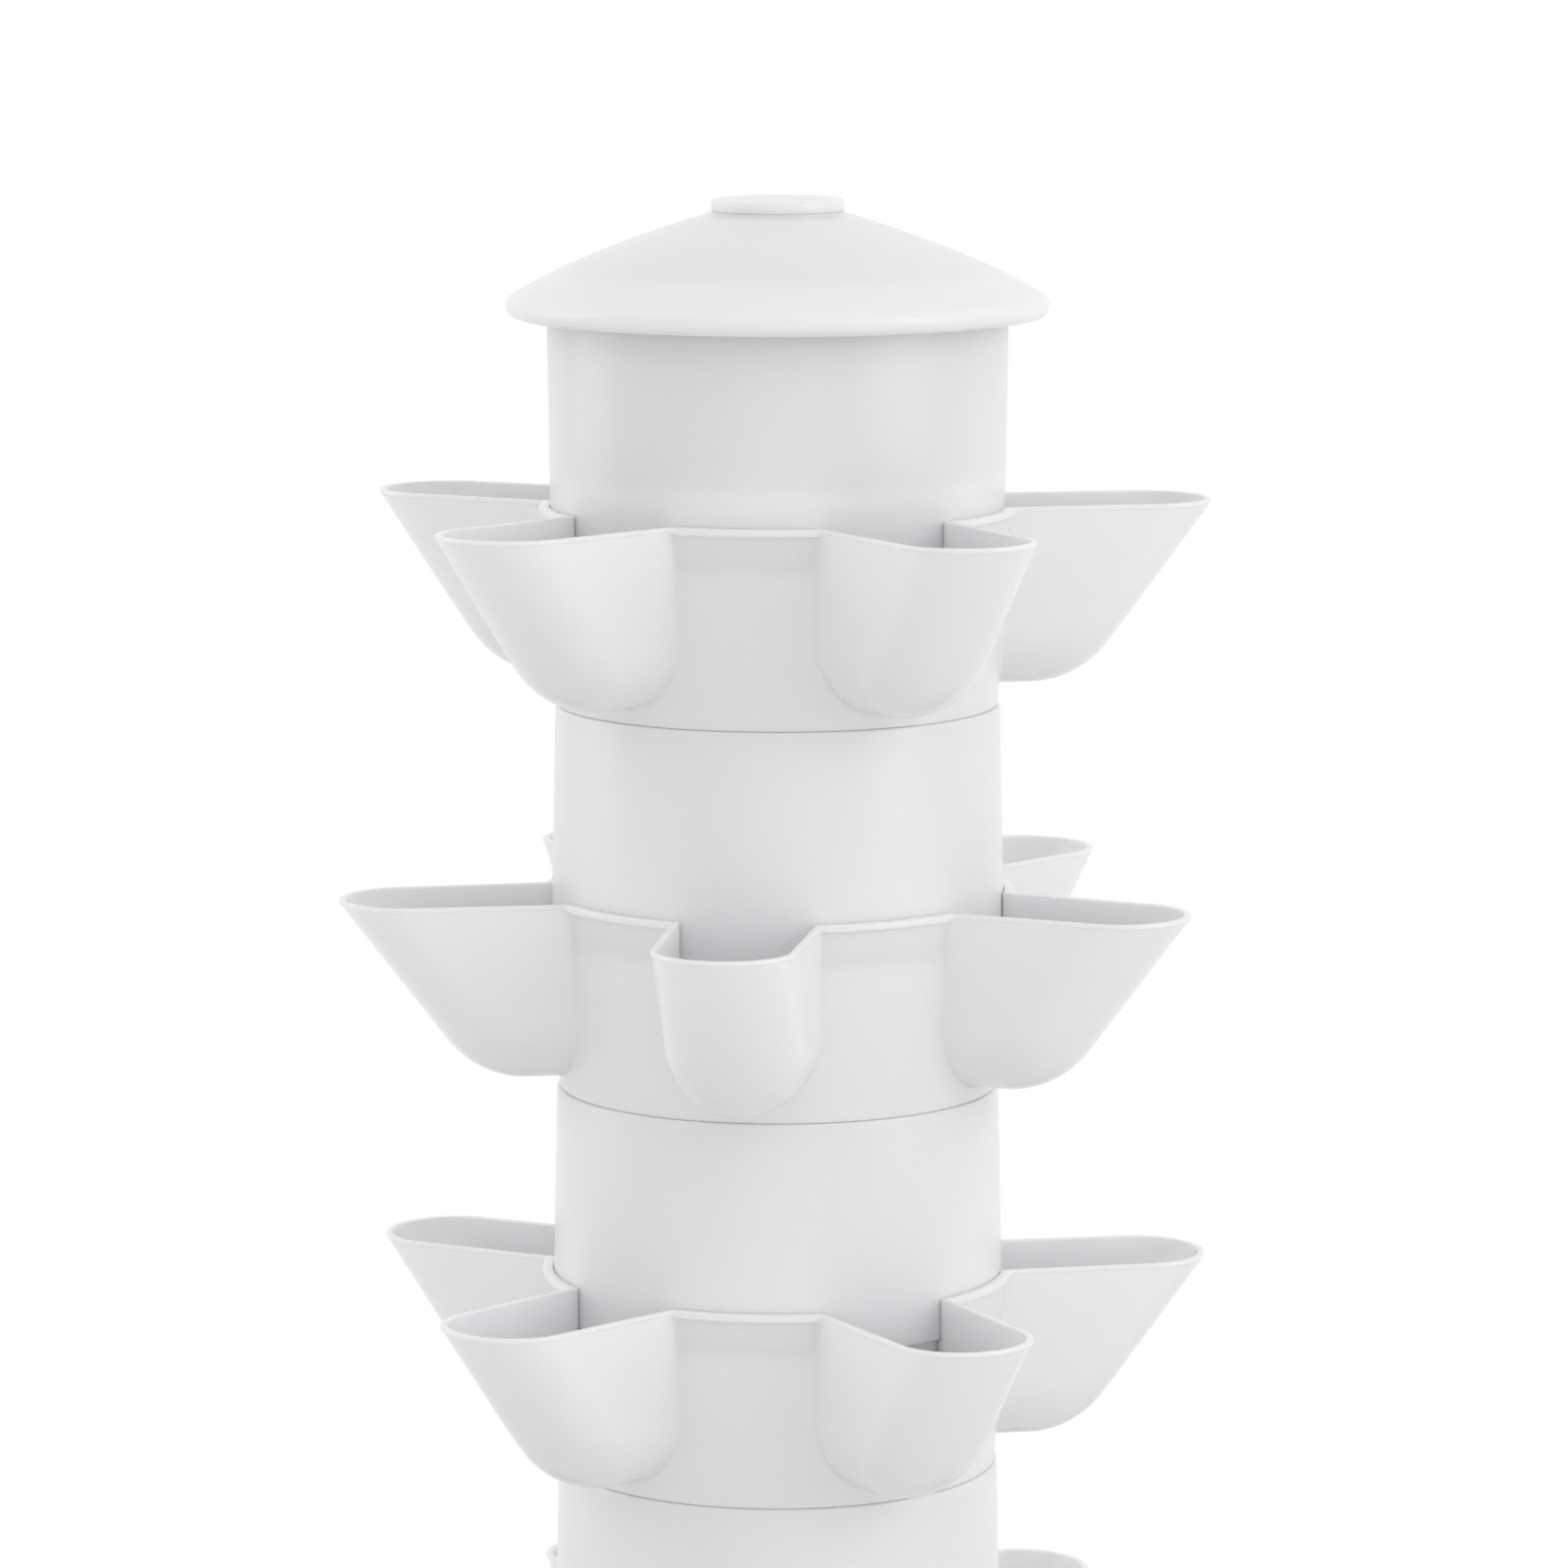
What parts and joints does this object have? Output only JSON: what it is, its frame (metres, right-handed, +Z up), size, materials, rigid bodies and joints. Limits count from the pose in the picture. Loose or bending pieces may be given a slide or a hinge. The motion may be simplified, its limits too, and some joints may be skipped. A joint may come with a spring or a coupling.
{
  "type": "vertical planter tower",
  "caption": "Stackable growing tower: staggered rings of scoop pockets between drums, conical lid, water tank with pump and riser inside.",
  "frame": {"origin": "on the floor under the column's axis", "axes": "+Z up, front towards -Y, with a pocket of the lowest ring at the front"},
  "size_m": [0.3752, 0.3752, 0.8691],
  "materials": {
    "white_plastic": "satin moulded white",
    "tank_plastic": "satin moulded white",
    "pipe_plastic": "smooth light grey",
    "pump_plastic": "fine-grained black",
    "magnet": "smooth dark grey over the magnet",
    "ceramic_rod": "polished ceramic",
    "soft_rubber": "matt black",
    "steel_pin": "drawn wire"
  },
  "bodies": {
    "tank": {"tank": "tank_plastic", "riser_pipe_1": "pipe_plastic", "riser_pipe_2": "pipe_plastic", "riser_pipe_3": "pipe_plastic", "riser_pipe_4": "pipe_plastic", "riser_pipe_5": "pipe_plastic", "riser_nipple_1": "pipe_plastic", "riser_nipple_2": "pipe_plastic", "riser_nipple_3": "pipe_plastic", "riser_nipple_4": "pipe_plastic", "riser_socket": "pump_plastic", "pump_housing": "pump_plastic", "pump_shaft": "ceramic_rod", "pump_inlet_cover": "pump_plastic", "pump_foot_1": "soft_rubber", "pump_foot_2": "soft_rubber", "pump_foot_3": "soft_rubber", "pump_foot_4": "soft_rubber", "tap_body": "white_plastic", "tap_washer": "soft_rubber", "tap_nut": "white_plastic"},
    "pump_rotor": {"pump_rotor": "magnet"},
    "tap_lever": {"tap_lever": "pump_plastic"},
    "tank_cover": {"tank_cover": "tank_plastic", "cable_grommet": "soft_rubber", "flap_pin": "steel_pin"},
    "fill_flap": {"fill_flap": "white_plastic"},
    "pocket_ring_1": {"pocket_ring_1": "white_plastic"},
    "drum_1": {"drum_1": "white_plastic"},
    "pocket_ring_2": {"pocket_ring_2": "white_plastic"},
    "drum_2": {"drum_2": "white_plastic"},
    "pocket_ring_3": {"pocket_ring_3": "white_plastic"},
    "drum_3": {"drum_3": "white_plastic"},
    "pocket_ring_4": {"pocket_ring_4": "white_plastic"},
    "top_drum": {"top_drum": "white_plastic", "spreader_dish": "pipe_plastic", "spray_cap": "pipe_plastic"},
    "lid": {"lid": "white_plastic"},
    "lid_cap": {"lid_cap": "white_plastic"}
  },
  "joints": [
    {"name": "cover_lift", "type": "slide", "parent": "tank", "child": "tank_cover", "axis": [0, 0, 1], "range_m": [0, 0.06]},
    {"name": "ring_1_turn", "type": "hinge", "parent": "tank_cover", "child": "pocket_ring_1", "pos_m": [0, 0, 0.2356], "axis": [0, 0, 1], "continuous": true},
    {"name": "drum_1_lift", "type": "slide", "parent": "pocket_ring_1", "child": "drum_1", "axis": [0, 0, 1], "range_m": [0, 0.05]},
    {"name": "ring_2_turn", "type": "hinge", "parent": "drum_1", "child": "pocket_ring_2", "pos_m": [0, 0, 0.3829], "axis": [0, 0, 1], "continuous": true},
    {"name": "drum_2_lift", "type": "slide", "parent": "pocket_ring_2", "child": "drum_2", "axis": [0, 0, 1], "range_m": [0, 0.05]},
    {"name": "ring_3_turn", "type": "hinge", "parent": "drum_2", "child": "pocket_ring_3", "pos_m": [0, 0, 0.5302], "axis": [0, 0, 1], "continuous": true},
    {"name": "drum_3_lift", "type": "slide", "parent": "pocket_ring_3", "child": "drum_3", "axis": [0, 0, 1], "range_m": [0, 0.05]},
    {"name": "ring_4_turn", "type": "hinge", "parent": "drum_3", "child": "pocket_ring_4", "pos_m": [0, 0, 0.6775], "axis": [0, 0, 1], "continuous": true},
    {"name": "top_drum_lift", "type": "slide", "parent": "pocket_ring_4", "child": "top_drum", "axis": [0, 0, 1], "range_m": [0, 0.05]},
    {"name": "lid_lift", "type": "slide", "parent": "top_drum", "child": "lid", "axis": [0, 0, 1], "range_m": [0, 0.05]},
    {"name": "cap_lift", "type": "slide", "parent": "lid", "child": "lid_cap", "axis": [0, 0, 1], "range_m": [0, 0.03]},
    {"name": "flap_open", "type": "hinge", "parent": "tank_cover", "child": "fill_flap", "pos_m": [0.139, -0.08025, 0.2001], "axis": [0.5, 0.866, 0], "range_deg": [0, 110]},
    {"name": "tap_turn", "type": "hinge", "parent": "tank", "child": "tap_lever", "pos_m": [0, -0.17832, 0.042], "axis": [0, 0, 1], "range_deg": [-90, 0]},
    {"name": "rotor_spin", "type": "hinge", "parent": "tank", "child": "pump_rotor", "pos_m": [0, 0, 0.0336], "axis": [0, 1, 0], "continuous": true}
  ]
}
